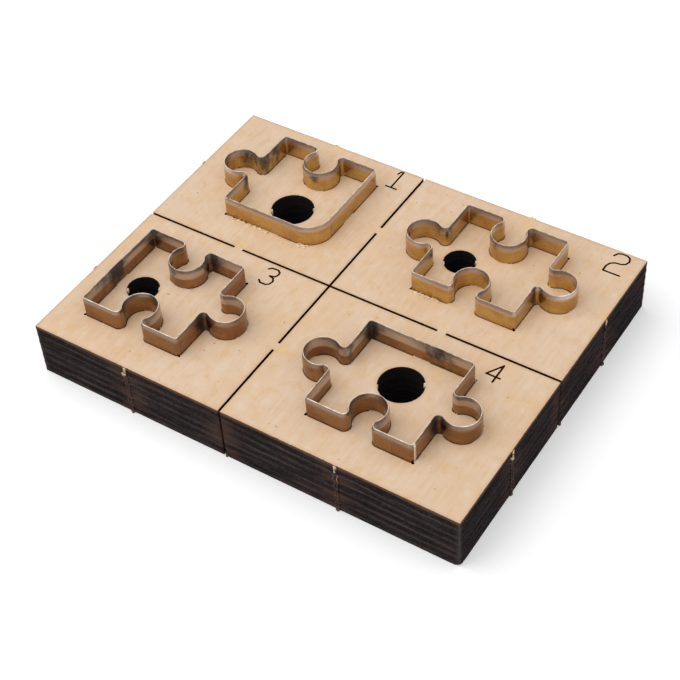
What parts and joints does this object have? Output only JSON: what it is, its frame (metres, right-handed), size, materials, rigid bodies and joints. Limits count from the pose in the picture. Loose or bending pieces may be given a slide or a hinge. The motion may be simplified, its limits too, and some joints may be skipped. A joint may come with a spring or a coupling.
{
  "type": "steel rule die",
  "caption": "Laser-cut plywood die board with bent, bevelled steel rules standing in jigsaw outlines, used in a press to cut sheet into puzzle pieces.",
  "frame": {"origin": "middle of the board's underside", "axes": "+X along the long edge, +Y to the back edge, +Z towards the cutting edges"},
  "size_m": [0.131, 0.1036, 0.0238],
  "materials": {
    "birch_plywood": "bare pale face, laser-charred edges",
    "rule_steel": "drawn strip with a ground bevel"
  },
  "bodies": {
    "root": {"die_board": "birch_plywood", "corner_rule": "rule_steel", "middle_rule": "rule_steel", "left_edge_rule": "rule_steel", "top_edge_rule": "rule_steel"}
  },
  "joints": []
}
